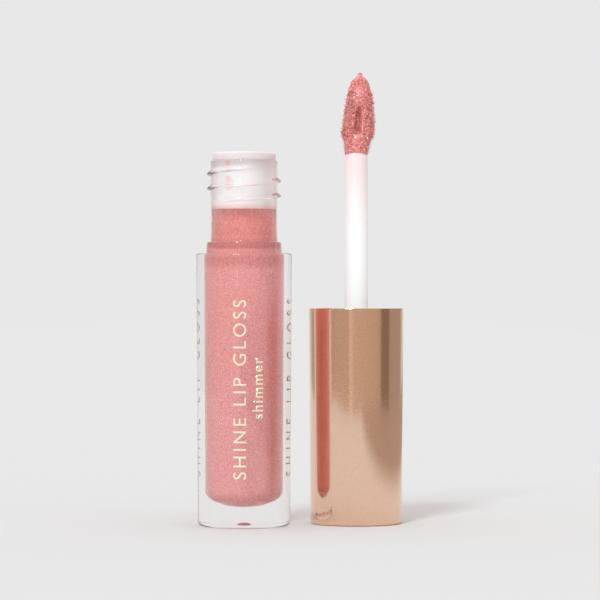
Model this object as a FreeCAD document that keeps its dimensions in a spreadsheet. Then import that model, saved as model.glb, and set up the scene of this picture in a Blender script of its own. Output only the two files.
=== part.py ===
import FreeCAD, Part
import math
import os
import types

import Sketcher
from FreeCAD import Placement, Rotation, Vector

# Lip gloss tube, open: the bottle stands on its base at the origin, and the cap with its
# wand stands upside down beside it, on its closed end. Millimetres, +Z up, -Y the front.

SIZES = {
    # bottle: one thick-walled clear moulding with a solid base and a threaded neck
    "rim_r": 9.1, "base_r": 8.8, "body_top": 51.74, "base_round": 0.9, "rim_round": 0.3,
    "ring_low_r": 7.24, "ring_top_r": 7.12, "ring_top": 53.93,
    "neck_r": 6.38, "neck_top": 69.38, "neck_bore_r": 3.95,
    "cavity_r": 4.85, "cavity_base_r": 4.68, "cavity_mid": 3.9, "cavity_edge": 5.45,
    "cavity_round": 2.4, "throat_low": 52.2, "throat_top": 55.2,
    # screw thread shared by neck and cap
    "pitch": 2.8, "neck_turns": 2.2, "thread_low": 61.25, "thread_start": -140.0,
    "crest_r": 7.05, "ridge_root": 1.18, "ridge_crest": 0.38, "ridge_lead": 0.12,
    "thread_bite": 0.1,
    # gloss and wiper
    "gloss_top": 60.1,
    "flange_r": 6.02, "flange_top": 70.93, "wiper_bore_r": 3.35, "wiper_low": 60.2,
    "orifice_r": 2.15, "lip_top": 60.7, "funnel_low": 62.3, "mouth_r": 3.7,
    "mouth_low": 70.5,
    # where the cap stands
    "cap_x": 21.45, "cap_y": 5.5,
    # cap: outer shell
    "cap_rim_r": 9.1, "cap_end_r": 8.76, "cap_top": 41.4, "shell_wall": 0.8,
    "shell_end": 1.0, "shell_round": 0.5, "shell_rim_round": 0.2,
    # cap: inner cap, washer and wand
    "inner_top": 40.9, "entry_r": 7.62, "entry_low": 32.8, "cap_root_r": 7.17,
    "cap_crest_r": 6.62, "cap_thread_low": 24.3, "cap_turns": 2.0,
    "deck_top": 21.4, "deck_low": 20.2, "boss_r": 3.5, "boss_low": 12.2,
    "socket_low": 13.2, "skirt_in_r": 7.05, "rib_wide": 0.8, "rib_low": 3.0, "ribs": 6,
    "washer_r": 6.3, "washer_bore_r": 2.36, "washer_low": 21.42, "washer_thick": 0.8,
    "stem_r": 2.285, "stem_tip_r": 2.2, "stem_top": 70.8, "plug_r": 1.2, "plug_long": 6.0,
    # applicator tip and its flocked coat
    "tip_long": 16.0, "tip_half_wide": 3.2, "tip_half_thick": 1.75, "tip_lean": 0.75,
    "flock_thick": 0.3, "groove_wide": 0.8, "groove_low": 3.9, "groove_top": 10.0,
    "groove_deep": 0.9, "groove_side": 0.2, "plug_root": 1.0,
}


class Dim:
    """A length: its value, and the sheet expression that gives it."""

    def __init__(self, value, text):
        self.value = value
        self.text = text

    def __add__(self, other):
        return joined(self, "+", other)

    def __sub__(self, other):
        return joined(self, "-", other)

    def __mul__(self, other):
        return joined(self, "*", other)


def as_dim(item):
    if isinstance(item, Dim):
        return item
    return Dim(float(item), repr(float(item)))


def joined(left, sign, right):
    right = as_dim(right)
    values = {
        "+": left.value + right.value,
        "-": left.value - right.value,
        "*": left.value * right.value,
    }
    return Dim(values[sign], f"({left.text} {sign} {right.text})")


document = FreeCAD.newDocument("LipGlossTube")
sheet = document.addObject("Spreadsheet::Sheet", "Sizes")
for row, (alias, size) in enumerate(SIZES.items(), start=1):
    sheet.set(f"A{row}", alias)
    sheet.set(f"B{row}", str(size))
    sheet.setAlias(f"B{row}", alias)
document.recompute()
d = types.SimpleNamespace(
    **{alias: Dim(float(sheet.get(alias)), f"Sizes.{alias}") for alias in SIZES}
)
ORIGIN, H_AXIS, V_AXIS = -1, -1, -2
subparts = []


# Sketch helpers

def origin_plane(body, role):
    return [feature for feature in body.Origin.OriginFeatures if feature.Role == role][0]


def new_body(label, on_cap=False):
    body = document.addObject("PartDesign::Body", label)
    body.Label = label
    if on_cap:
        body.setExpression("Placement.Base.x", d.cap_x.text)
        body.setExpression("Placement.Base.y", d.cap_y.text)
    subparts.append(body)
    return body


def new_sketch(body, name, role):
    sketch = body.newObject("Sketcher::SketchObject", name)
    sketch.AttachmentSupport = [(origin_plane(body, role), "")]
    sketch.MapMode = "FlatFace"
    return sketch


def dome_arc(start, end):
    """Arc between two points, centred on the vertical axis."""
    (r_a, z_a), (r_b, z_b) = start, end
    centre = (r_b ** 2 + z_b ** 2 - r_a ** 2 - z_a ** 2) / (2 * (z_b - z_a))
    radius = math.hypot(r_a, z_a - centre)
    angles = sorted(math.atan2(z - centre, r) for r, z in (start, end))
    circle = Part.Circle(Vector(0, centre, 0), Vector(0, 0, 1), radius)
    return Part.ArcOfCircle(circle, angles[0], angles[1])


def pin_point(sketch, side, end, across, up):
    """Fixes one corner of a sketch at its distance across and up."""
    for size, kind, axis in ((across, "DistanceX", V_AXIS), (up, "DistanceY", H_AXIS)):
        if size.value == 0:
            sketch.addConstraint(Sketcher.Constraint("PointOnObject", side, end, axis))
            continue
        link = Sketcher.Constraint(kind, ORIGIN, 1, side, end, size.value)
        index = sketch.addConstraint(link)
        sketch.setExpression(f"Constraints[{index}]", size.text)


def outline(sketch, points, domes=()):
    """Closed outline through the points; a side listed in domes is a dome's arc."""
    points = [(as_dim(across), as_dim(up)) for across, up in points]
    count = len(points)
    ends = []
    for side in range(count):
        start = tuple(size.value for size in points[side])
        end = tuple(size.value for size in points[(side + 1) % count])
        if side in domes:
            sketch.addGeometry(dome_arc(start, end), False)
            sketch.addConstraint(Sketcher.Constraint("PointOnObject", side, 3, V_AXIS))
            ends.append((1, 2) if start[1] < end[1] else (2, 1))
        else:
            line = Part.LineSegment(Vector(*start, 0), Vector(*end, 0))
            sketch.addGeometry(line, False)
            ends.append((1, 2))
    for side in range(count):
        before = (side - 1) % count
        corner = Sketcher.Constraint("Coincident", before, ends[before][1], side, ends[side][0])
        sketch.addConstraint(corner)
        pin_point(sketch, side, ends[side][0], *points[side])


def turned(body, name, points, domes=()):
    """Solid of revolution of an outline about the body's own vertical axis."""
    sketch = new_sketch(body, name + "_outline", "XZ_Plane")
    outline(sketch, points, domes)
    solid = body.newObject("PartDesign::Revolution", name)
    solid.Profile = sketch
    solid.ReferenceAxis = (sketch, ["V_Axis"])
    solid.Angle = 360.0
    sketch.Visibility = False
    document.recompute()
    return solid


def ring_edges(feature, rings):
    """Names of the circular edges of each radius and height."""
    names = []
    for number, edge in enumerate(feature.Shape.Edges, start=1):
        if edge.Degenerated or not isinstance(edge.Curve, Part.Circle):
            continue
        for radius, height in rings:
            same_radius = abs(edge.Curve.Radius - radius.value) < 1e-4
            same_height = abs(edge.Curve.Center.z - height.value) < 1e-4
            if same_radius and same_height:
                names.append(f"Edge{number}")
    return names


def rounded(body, name, base, radius, rings):
    """Fillet on the circular edges given by their radius and height."""
    fillet = body.newObject("PartDesign::Fillet", name)
    fillet.Base = (base, ring_edges(base, rings))
    fillet.setExpression("Radius", radius.text)
    document.recompute()
    return fillet


def thread_ridge(body, name, root_r, tip_r, low, turns, start=0.0):
    """Single right-hand ridge: a steep lead flank below and a slope above."""
    sketch = new_sketch(body, name + "_profile", "XZ_Plane")
    sketch.AttachmentOffset = Placement(Vector(), Rotation(Vector(0, 1, 0), start))
    points = [
        (root_r, low),
        (tip_r, low + d.ridge_lead),
        (tip_r, low + d.ridge_lead + d.ridge_crest),
        (root_r, low + d.ridge_root),
    ]
    outline(sketch, points)
    document.recompute()
    ridge = body.newObject("PartDesign::AdditiveHelix", name)
    ridge.Profile = sketch
    ridge.ReferenceAxis = (sketch, ["V_Axis"])
    ridge.Mode = "pitch-turns-angle"
    ridge.setExpression("Pitch", d.pitch.text)
    ridge.setExpression("Turns", turns.text)
    ridge.LeftHanded = False
    document.recompute()
    return ridge


def lerp_r(low_r, top_r, low, top, height):
    """Radius of a drafted wall at a height, as a length bound to the sheet."""
    share = (height.value - low.value) / (top.value - low.value)
    value = low_r.value + (top_r.value - low_r.value) * share
    spans = f"({height.text} - {low.text}) / ({top.text} - {low.text})"
    return Dim(value, f"({low_r.text} + ({top_r.text} - {low_r.text}) * {spans})")


# Bottle

def make_bottle_body():
    body = new_body("bottle_body")
    points = [
        (0, 0),
        (d.base_r, 0),
        (d.rim_r, d.body_top),
        (d.ring_low_r, d.body_top),
        (d.ring_top_r, d.ring_top),
        (d.neck_r, d.ring_top),
        (d.neck_r, d.neck_top),
        (d.neck_bore_r, d.neck_top),
        (d.neck_bore_r, d.throat_top),
        (d.cavity_r, d.throat_low),
        (d.cavity_base_r, d.cavity_edge),
        (0, d.cavity_mid),
    ]
    solid = turned(body, "bottle", points, domes=(10,))
    solid = rounded(body, "base_edge", solid, d.base_round, [(d.base_r, as_dim(0))])
    solid = rounded(body, "rim_edge", solid, d.rim_round, [(d.rim_r, d.body_top)])
    corner = [(d.cavity_base_r, d.cavity_edge)]
    rounded(body, "cavity_corner", solid, d.cavity_round, corner)
    root_r = d.neck_r - d.thread_bite
    start = d.thread_start.value
    thread_ridge(body, "neck_thread", root_r, d.crest_r, d.thread_low, d.neck_turns, start)


def make_gloss_fill():
    body = new_body("gloss_fill")
    points = [
        (0, d.cavity_mid),
        (d.cavity_base_r, d.cavity_edge),
        (d.cavity_r, d.throat_low),
        (d.neck_bore_r, d.throat_top),
        (d.neck_bore_r, d.gloss_top),
        (0, d.gloss_top),
    ]
    solid = turned(body, "gloss", points, domes=(0,))
    rounded(body, "gloss_corner", solid, d.cavity_round, [(d.cavity_base_r, d.cavity_edge)])


def make_wiper():
    body = new_body("wiper")
    points = [
        (d.flange_r, d.neck_top),
        (d.flange_r, d.flange_top),
        (d.mouth_r, d.flange_top),
        (d.wiper_bore_r, d.mouth_low),
        (d.wiper_bore_r, d.funnel_low),
        (d.orifice_r, d.lip_top),
        (d.orifice_r, d.wiper_low),
        (d.wiper_bore_r, d.wiper_low),
        (d.neck_bore_r, d.funnel_low),
        (d.neck_bore_r, d.neck_top),
    ]
    solid = turned(body, "wiper_plug", points)
    rounded(body, "flange_edge", solid, d.rim_round, [(d.flange_r, d.flange_top)])


# Cap, upside down

def shell_inner_r(height):
    return lerp_r(d.cap_end_r, d.cap_rim_r, as_dim(0), d.cap_top, height) - d.shell_wall


def make_overcap():
    body = new_body("overcap", on_cap=True)
    points = [
        (0, 0),
        (d.cap_end_r, 0),
        (d.cap_rim_r, d.cap_top),
        (d.cap_rim_r - d.shell_wall, d.cap_top),
        (shell_inner_r(d.shell_end), d.shell_end),
        (0, d.shell_end),
    ]
    solid = turned(body, "shell", points)
    solid = rounded(body, "end_edge", solid, d.shell_round, [(d.cap_end_r, as_dim(0))])
    rounded(body, "rim_edge", solid, d.shell_rim_round, [(d.cap_rim_r, d.cap_top)])


def make_inner_cap():
    body = new_body("inner_cap", on_cap=True)
    points = [
        (d.skirt_in_r, d.shell_end),
        (shell_inner_r(d.shell_end), d.shell_end),
        (shell_inner_r(d.inner_top), d.inner_top),
        (d.entry_r, d.inner_top),
        (d.entry_r, d.entry_low),
        (d.cap_root_r, d.entry_low),
        (d.cap_root_r, d.deck_top),
        (d.stem_r, d.deck_top),
        (d.stem_r, d.socket_low),
        (0, d.socket_low),
        (0, d.boss_low),
        (d.boss_r, d.boss_low),
        (d.boss_r, d.deck_low),
        (d.skirt_in_r, d.deck_low),
    ]
    turned(body, "liner", points)
    root_r = d.cap_root_r + d.thread_bite
    thread_ridge(body, "cap_thread", root_r, d.cap_crest_r, d.cap_thread_low, d.cap_turns)
    sketch = new_sketch(body, "rib_outline", "XY_Plane")
    sketch.setExpression("AttachmentOffset.Base.z", d.rib_low.text)
    half = d.rib_wide * 0.5
    near = d.boss_r - d.thread_bite
    far = d.skirt_in_r + d.thread_bite
    outline(sketch, [(near, 0), (far, 0), (far, half), (near, half)])
    document.recompute()
    rib = body.newObject("PartDesign::Pad", "rib")
    rib.Profile = sketch
    rib.setExpression("Length", (d.deck_low - d.rib_low).text)
    document.recompute()
    ribs = body.newObject("PartDesign::PolarPattern", "rib_ring")
    ribs.Originals = [rib]
    ribs.Axis = (sketch, ["N_Axis"])
    ribs.Angle = 360.0
    ribs.setExpression("Occurrences", d.ribs.text)
    body.Tip = ribs
    document.recompute()


def make_seal_washer():
    body = new_body("seal_washer", on_cap=True)
    top = d.washer_low + d.washer_thick
    points = [
        (d.washer_bore_r, d.washer_low),
        (d.washer_r, d.washer_low),
        (d.washer_r, top),
        (d.washer_bore_r, top),
    ]
    turned(body, "washer", points)


def make_stem():
    body = new_body("stem", on_cap=True)
    points = [
        (0, d.socket_low),
        (d.stem_r, d.socket_low),
        (d.stem_r, d.washer_low + d.washer_thick * 2),
        (d.stem_tip_r, d.stem_top),
        (d.plug_r, d.stem_top),
        (d.plug_r, d.stem_top - d.plug_long),
        (0, d.stem_top - d.plug_long),
    ]
    turned(body, "rod", points)


# Applicator tip: a leaf lofted through ovals, inside a flocked coat of the same form

LEAF = [
    # share of the length, share of the half width, share of the half thickness
    (0.0, 0.68, 1.20),
    (0.10, 0.74, 1.18),
    (0.31, 1.0, 1.0),
    (0.58, 0.90, 0.86),
    (0.80, 0.62, 0.66),
    (0.93, 0.32, 0.40),
    (1.0, 0.12, 0.16),
]


TOP_THINNING = 0.8    # share of the coat's thickness that is lost at the leaf's point


def oval(half_wide, half_thick, centre):
    """Flat oval wire, its long way along X."""
    if half_wide > half_thick:
        ellipse = Part.Ellipse(centre, half_wide, half_thick)
        return Part.Wire([ellipse.toShape()])
    ellipse = Part.Ellipse(centre, half_thick, half_wide)
    ellipse.rotate(Placement(centre, Rotation(Vector(0, 0, 1), 90)))
    return Part.Wire([ellipse.toShape()])


def leaf(inset):
    """Leaf-shaped solid on the stem's end, smaller all round by the inset."""
    wires = []
    long = d.tip_long.value - inset
    for along, wide, thick in LEAF:
        lean = d.tip_lean.value * (1 - (1 - along) ** 2)
        centre = Vector(lean, 0, d.stem_top.value + long * along)
        skin = inset * (1 - TOP_THINNING * along ** 4)
        half_wide = d.tip_half_wide.value * wide - skin
        half_thick = d.tip_half_thick.value * thick - skin
        wires.append(oval(half_wide, half_thick, centre))
    return Part.makeLoft(wires, True, False)


def groove_cutter(depth):
    """Slot down the front of the leaf, leaning with it."""
    tall = d.groove_top.value - d.groove_low.value
    wide = d.groove_wide.value
    reach = 2 * d.tip_half_thick.value
    box = Part.makeBox(wide, reach, tall, Vector(-wide / 2, -reach - depth, 0))
    lean = math.degrees(math.atan2(d.tip_lean.value, tall))
    box.rotate(Vector(), Vector(0, 1, 0), lean)
    low = d.stem_top.value + d.groove_low.value
    box.translate(Vector(d.groove_side.value, 0, low))
    return box


def add_feature(label, shape):
    feature = document.addObject("Part::Feature", label)
    feature.Label = label
    feature.Shape = shape
    feature.Placement = Placement(Vector(d.cap_x.value, d.cap_y.value, 0), Rotation())
    subparts.append(feature)


def make_tip():
    floor = d.tip_half_thick.value - d.groove_deep.value
    core = leaf(d.flock_thick.value)
    plug_low = d.stem_top.value - d.plug_long.value
    plug_tall = d.plug_long.value + d.plug_root.value
    plug = Part.makeCylinder(d.plug_r.value, plug_tall, Vector(0, 0, plug_low))
    add_feature("applicator_tip", core.fuse(plug).cut(groove_cutter(floor)).removeSplitter())
    coat = leaf(0.0).cut(leaf(d.flock_thick.value))
    add_feature("flocking", coat.cut(groove_cutter(floor)))


make_bottle_body()
make_gloss_fill()
make_wiper()
make_overcap()
make_inner_cap()
make_seal_washer()
make_stem()
make_tip()
document.recompute()

for item in document.Objects:
    if "Invalid" in item.State or "Error" in item.State:
        raise RuntimeError(f"{item.Label} failed: {item.State}")
    if item.isDerivedFrom("Sketcher::SketchObject") and not item.FullyConstrained:
        raise RuntimeError(f"{item.Label} is not fully constrained")
for part in subparts:
    if part.Shape.isNull() or not part.Shape.isValid():
        raise RuntimeError(f"{part.Label} has no valid shape")

os.makedirs("parts", exist_ok=True)
for part in subparts:
    part.Shape.exportStep(f"parts/{part.Label}.step")
    box = part.Shape.BoundBox
    print(f"{part.Label:16s} {len(part.Shape.Solids)} solid, {part.Shape.Volume:8.2f} mm3,"
          f" z {box.ZMin:.2f} to {box.ZMax:.2f}, x {box.XMin:.2f} to {box.XMax:.2f}")
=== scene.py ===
import math
import random

import bmesh
import bpy
from mathutils import Matrix, Vector, noise


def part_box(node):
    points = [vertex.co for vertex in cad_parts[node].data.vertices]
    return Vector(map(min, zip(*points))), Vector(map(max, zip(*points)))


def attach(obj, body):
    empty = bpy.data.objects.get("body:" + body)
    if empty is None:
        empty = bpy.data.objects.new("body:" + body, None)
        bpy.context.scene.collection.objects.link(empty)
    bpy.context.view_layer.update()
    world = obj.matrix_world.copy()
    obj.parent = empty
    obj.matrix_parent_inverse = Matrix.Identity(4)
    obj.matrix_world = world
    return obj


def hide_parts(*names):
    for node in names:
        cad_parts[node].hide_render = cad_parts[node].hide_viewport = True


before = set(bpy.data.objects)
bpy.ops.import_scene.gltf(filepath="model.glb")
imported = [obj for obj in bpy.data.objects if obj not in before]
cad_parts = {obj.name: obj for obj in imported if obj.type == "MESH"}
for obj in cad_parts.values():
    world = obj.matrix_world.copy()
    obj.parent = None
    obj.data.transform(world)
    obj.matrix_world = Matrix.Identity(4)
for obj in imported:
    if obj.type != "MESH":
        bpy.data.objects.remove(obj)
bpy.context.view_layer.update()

MM = 0.001
scene = bpy.context.scene

# Places and main sizes that the frame gives

NECK_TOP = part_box("bottle_body")[1][2]
GLOSS_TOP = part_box("gloss_fill")[1][2]
WIPER_LOW, WIPER_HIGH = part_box("wiper")
CAP_LOW, CAP_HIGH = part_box("overcap")
STEM_LOW, STEM_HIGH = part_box("stem")

FOOT_LOW = WIPER_LOW[2] - 0.3 * MM
FLANGE_R = WIPER_HIGH[0]
FLANGE_TOP = WIPER_HIGH[2]
CAP_X = (CAP_LOW[0] + CAP_HIGH[0]) / 2
CAP_Y = (CAP_LOW[1] + CAP_HIGH[1]) / 2
CAP_R = (CAP_HIGH[0] - CAP_LOW[0]) / 2
CAP_TOP = CAP_HIGH[2]
STEM_R = (STEM_HIGH[0] - STEM_LOW[0]) / 2
STEM_TOP = STEM_HIGH[2]
TIP_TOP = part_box("flocking")[1][2]


# Camera, light and floor

CAMERA_FAR = 0.520
EYE = 0.0415
FRAME_X = 0.01065
HORIZON_SHIFT = 0.0125
LENS = 163.8
SENSOR = 36.0
VIEW_END = 50.0
BACKDROP = 0.807
THROUGH_PLASTIC = 1.0
KEY_TURN = math.radians(-19.5)
KEY_RISE = math.radians(39.0)
KEY_POWER = 1.5
KEY_WIDE = math.radians(12.0)
KEY_COLOUR = (0.80, 0.97, 1.0)


def add_camera():
    data = bpy.data.cameras.new("camera")
    data.lens = LENS
    data.sensor_width = SENSOR
    data.shift_y = HORIZON_SHIFT
    data.clip_end = VIEW_END
    camera = bpy.data.objects.new("camera", data)
    camera.location = (FRAME_X, -CAMERA_FAR, EYE)
    camera.rotation_euler = (math.pi / 2, 0.0, 0.0)
    scene.collection.objects.link(camera)
    scene.camera = camera


def key_direction():
    """Unit vector from the object towards the key light."""
    level = math.cos(KEY_RISE)
    across = math.sin(KEY_TURN) * level
    return Vector((across, -math.cos(KEY_TURN) * level, math.sin(KEY_RISE)))


def add_key():
    """Sun lamp that reflections don't see: the studio's glow stands in for it there."""
    data = bpy.data.lights.new("key", "SUN")
    data.energy = KEY_POWER
    data.angle = KEY_WIDE
    data.color = KEY_COLOUR
    data.cycles.use_multiple_importance_sampling = False
    key = bpy.data.objects.new("key", data)
    key.rotation_euler = key_direction().to_track_quat("Z", "Y").to_euler()
    key.visible_glossy = False
    scene.collection.objects.link(key)


class Tree:
    """Small helper that adds nodes to a node tree and links them."""

    def __init__(self, tree):
        self.tree = tree
        tree.nodes.clear()

    def add(self, kind, sockets=None, **settings):
        node = self.tree.nodes.new(kind)
        for name, value in settings.items():
            setattr(node, name, value)
        for name, value in (sockets or {}).items():
            self.feed(node.inputs[name], value)
        return node

    def feed(self, socket, value):
        if isinstance(value, bpy.types.NodeSocket):
            self.tree.links.new(value, socket)
        else:
            socket.default_value = value

    def math(self, operation, first, second=0.0, third=0.0):
        sockets = {0: first, 1: second, 2: third}
        return self.add("ShaderNodeMath", sockets, operation=operation).outputs[0]

    def ramp(self, factor, stops):
        node = self.add("ShaderNodeValToRGB", {"Fac": factor})
        elements = node.color_ramp.elements
        while len(elements) < len(stops):
            elements.new(0.5)
        for element, (place, colour) in zip(elements, stops):
            element.position = place
            element.color = (*colour, 1.0)
        return node.outputs["Color"]

    def mix(self, factor, first, second, blend="MIX"):
        node = self.add("ShaderNodeMix", data_type="RGBA", blend_type=blend)
        self.feed(node.inputs["Factor"], factor)
        self.feed(node.inputs["A"], first)
        self.feed(node.inputs["B"], second)
        return node.outputs["Result"]

    def span(self, value, low, high, to_low=0.0, to_high=1.0):
        """Smooth step of a value between low and high."""
        sockets = {"Value": value, "From Min": low, "From Max": high, "To Min": to_low}
        node = self.add("ShaderNodeMapRange", sockets, interpolation_type="SMOOTHSTEP")
        node.inputs["To Max"].default_value = to_high
        return node.outputs["Result"]

    def place(self):
        return self.add("ShaderNodeTexCoord").outputs["Object"]

    def along(self, place, axis):
        return self.add("ShaderNodeSeparateXYZ", {0: place}).outputs[axis]

    def mottle(self, place, scale, detail):
        sockets = {"Vector": place, "Scale": scale, "Detail": detail}
        return self.add("ShaderNodeTexNoise", sockets).outputs["Fac"]

    def flecks(self, place, scale, chance, reach):
        """Pearl flecks, which on the flock also serve as painted glints: chance picks which cells
        have one, reach is how far it fades.
        """
        cells = self.add("ShaderNodeTexVoronoi", {"Vector": place, "Scale": scale}).outputs
        pick = self.add("ShaderNodeSeparateColor", {0: cells["Color"]}).outputs[0]
        picked = self.span(pick, *chance)
        return self.math("MULTIPLY", picked, self.span(cells["Distance"], *reach))

    def bump(self, height, strength, distance):
        sockets = {"Height": height, "Strength": strength, "Distance": distance}
        return self.add("ShaderNodeBump", sockets).outputs[0]

    def principled(self, sockets):
        return self.add("ShaderNodeBsdfPrincipled", sockets).outputs[0]

    def finish(self, shader):
        output = self.add("ShaderNodeOutputMaterial")
        self.feed(output.inputs["Surface"], shader)


def grey(level):
    return (level, level, level, 1.0)


STUDIO_ROUND = [
    # degrees from the camera's side towards +X, colour of the studio at eye level
    (-180, (0.80, 0.80, 0.80)),
    (-152, (0.74, 0.73, 0.72)),
    (-135, (0.46, 0.42, 0.40)),
    (-95, (0.44, 0.38, 0.34)),
    (-50, (0.54, 0.45, 0.37)),
    (-19, (0.56, 0.46, 0.38)),
    (-16, (0.74, 0.64, 0.54)),
    (-11, (0.68, 0.58, 0.48)),
    (-6, (0.60, 0.49, 0.40)),
    (40, (0.56, 0.46, 0.38)),
    (58, (0.52, 0.42, 0.35)),
    (66, (0.26, 0.20, 0.16)),
    (84, (0.26, 0.20, 0.16)),
    (92, (0.43, 0.36, 0.31)),
    (135, (0.42, 0.36, 0.34)),
    (152, (0.72, 0.71, 0.70)),
    (180, (0.80, 0.80, 0.80)),
]
OVERHEAD = (0.98, 0.97, 0.96, 1.0)
OVERHEAD_FROM = 0.10
OVERHEAD_FULL = 0.45
FILL = (0.74, 0.68, 0.65, 1.0)
FILL_SHARE = 0.5
GLOW = 48.0
GLOW_CORE = math.radians(7.0)
GLOW_EDGE = math.radians(9.5)


def add_studio():
    """Even pale background, with a soft studio that only lights and reflections see."""
    world = bpy.data.worlds.new("studio")
    world.use_nodes = True
    scene.world = world
    t = Tree(world.node_tree)
    way = t.add("ShaderNodeTexCoord").outputs["Generated"]
    split = t.add("ShaderNodeSeparateXYZ", {0: way}).outputs
    turn = t.math("ARCTAN2", split["X"], t.math("MULTIPLY", split["Y"], -1.0))
    round_share = t.math("MULTIPLY_ADD", turn, 1 / (2 * math.pi), 0.5)
    stops = [(degrees / 360 + 0.5, colour) for degrees, colour in STUDIO_ROUND]
    level = t.ramp(round_share, stops)
    path = t.add("ShaderNodeLightPath").outputs
    level = t.mix(t.math("MULTIPLY", path["Is Diffuse Ray"], FILL_SHARE), level, FILL)
    upper = t.mix(t.span(split["Z"], OVERHEAD_FROM, OVERHEAD_FULL), level, OVERHEAD)
    key = t.add("ShaderNodeVectorMath", {0: way, 1: key_direction()}, operation="DOT_PRODUCT")
    glow = t.span(key.outputs["Value"], math.cos(GLOW_EDGE), math.cos(GLOW_CORE))
    glint = t.mix(glow, upper, grey(GLOW))
    lit = t.mix(path["Is Glossy Ray"], upper, glint)
    plain = t.math("MAXIMUM", path["Is Camera Ray"], path["Is Transmission Ray"])
    bounced = t.math("MINIMUM", path["Diffuse Depth"], 1.0)
    seen = t.mix(bounced, grey(BACKDROP), grey(THROUGH_PLASTIC))
    colour = t.mix(plain, lit, seen)
    background = t.add("ShaderNodeBackground", {"Color": colour, "Strength": 1.0})
    output = t.add("ShaderNodeOutputWorld")
    t.feed(output.inputs["Surface"], background.outputs[0])


def new_material(name):
    material = bpy.data.materials.new(name)
    material.use_nodes = True
    return material, Tree(material.node_tree)


TABLE_FRONT = CAP_Y - 0.400
TABLE_RIGHT = CAP_X + 0.500
TABLE_LEFT = CAP_X - 0.600
TABLE_BACK = 12.0
TABLE_TOP = -0.02 * MM
DIM_FROM = 0.060
DIM_FULL = 0.150
FLOOR_TONE = (0.684, 0.661, 0.662, 1.0)
DIM_TONE = (0.40, 0.32, 0.28, 1.0)


def add_floor():
    """Table top as bright as the backdrop, so its edges show only in the cap's mirror; there its
    right side gets painted shade.
    """
    data = bpy.data.meshes.new("floor")
    corners = [
        (TABLE_LEFT, TABLE_FRONT),
        (TABLE_RIGHT, TABLE_FRONT),
        (TABLE_RIGHT, TABLE_BACK),
        (TABLE_LEFT, TABLE_BACK),
    ]
    data.from_pydata([(x, y, TABLE_TOP) for x, y in corners], [], [(0, 1, 2, 3)])
    floor = bpy.data.objects.new("floor", data)
    scene.collection.objects.link(floor)
    material, t = new_material("floor_card")
    # painted shade: the table's right side is darker, for mirror rays only
    side = t.span(t.along(t.place(), "X"), DIM_FROM, DIM_FULL)
    path = t.add("ShaderNodeLightPath").outputs
    mirrored = t.math("SUBTRACT", path["Is Glossy Ray"], path["Is Transmission Ray"])
    tone = t.mix(t.math("MULTIPLY", side, mirrored), FLOOR_TONE, DIM_TONE)
    t.finish(t.add("ShaderNodeBsdfDiffuse", {"Color": tone}).outputs[0])
    data.materials.append(material)


# Mesh helpers

def new_object(name, mesh, material, body, replaced=()):
    piece = bpy.data.objects.new(name, mesh)
    scene.collection.objects.link(piece)
    mesh.materials.append(material)
    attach(piece, body)
    if replaced:
        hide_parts(*replaced)
    return piece


def smooth(share):
    share = max(0.0, min(1.0, share))
    return share * share * (3 - 2 * share)


def ease(value, start, end):
    """Smooth step from 0 at start to 1 at end, whichever of the two is higher."""
    return smooth((value - start) / (end - start))


def rounded(corners, steps=8):
    """Outline through (r, z, fillet) corners, with an arc in place of each filleted one."""
    points = []
    count = len(corners)
    for index, (r, z, fillet) in enumerate(corners):
        here = Vector((r, z))
        if fillet == 0 or index in (0, count - 1):
            points.append(here)
            continue
        back = (Vector(corners[index - 1][:2]) - here).normalized()
        ahead = (Vector(corners[index + 1][:2]) - here).normalized()
        half = math.acos(max(-1.0, min(1.0, back.dot(ahead)))) / 2
        reach = fillet / math.tan(half)
        middle = here + (back + ahead).normalized() * (fillet / math.sin(half))
        start = here + back * reach - middle
        end = here + ahead * reach - middle
        sweep = start.angle_signed(end)
        for step in range(steps + 1):
            turn = Matrix.Rotation(-sweep * step / steps, 2)
            points.append(middle + turn @ start)
    return points


def dome(mid, edge_r, edge_z, fillet, inward=False, steps=14):
    """Corners of a shallow dome from the axis out to where its edge's fillet begins."""
    rise = edge_z - mid
    radius = (edge_r ** 2 + rise ** 2) / (2 * rise)
    reach = edge_r - fillet
    corners = []
    for step in range(steps + 1):
        r = reach * step / steps
        z = mid + radius - math.sqrt(radius ** 2 - r ** 2)
        corners.append((r, z, 0))
    return corners[::-1] if inward else corners


def face_outward(mesh, merge=0.0):
    """Joins points closer than merge, turns every face outwards and shades them smooth."""
    work = bmesh.new()
    work.from_mesh(mesh)
    if merge:
        bmesh.ops.remove_doubles(work, verts=work.verts, dist=merge)
    bmesh.ops.recalc_face_normals(work, faces=work.faces)
    work.to_mesh(mesh)
    work.free()
    mesh.shade_smooth()


def revolve(name, points, centre=(0.0, 0.0), segments=192, shift=None, closed=False):
    """Surface of revolution; ends on the axis close to a point. shift moves a radius."""
    mesh = bpy.data.meshes.new(name)
    verts, rows = [], []
    for r, z in points:
        if r < 1e-9:
            rows.append([len(verts)])
            verts.append((centre[0], centre[1], z))
            continue
        row = []
        for k in range(segments):
            turn = 2 * math.pi * k / segments
            wide = r + (shift(turn, r, z) if shift else 0.0)
            row.append(len(verts))
            x = centre[0] + wide * math.cos(turn)
            verts.append((x, centre[1] + wide * math.sin(turn), z))
        rows.append(row)
    if closed:
        rows.append(rows[0])
    faces = []
    for low, high in zip(rows, rows[1:]):
        for k in range(segments):
            n = (k + 1) % segments
            quad = [low[k % len(low)], low[n % len(low)], high[n % len(high)], high[k % len(high)]]
            face = list(dict.fromkeys(quad))
            if len(face) > 2:
                faces.append(face)
    mesh.from_pydata(verts, [], faces)
    face_outward(mesh)
    return mesh


def tube_faces(faces, first, sides, rings):
    """Faces of a closed tube whose rings of points start at first."""
    for ring in range(rings):
        low = first + ring * sides
        for k in range(sides):
            n = (k + 1) % sides
            faces.append((low + k, low + n, low + sides + n, low + sides + k))
    last = first + rings * sides
    faces.append(tuple(first + k for k in reversed(range(sides))))
    faces.append(tuple(last + k for k in range(sides)))


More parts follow.
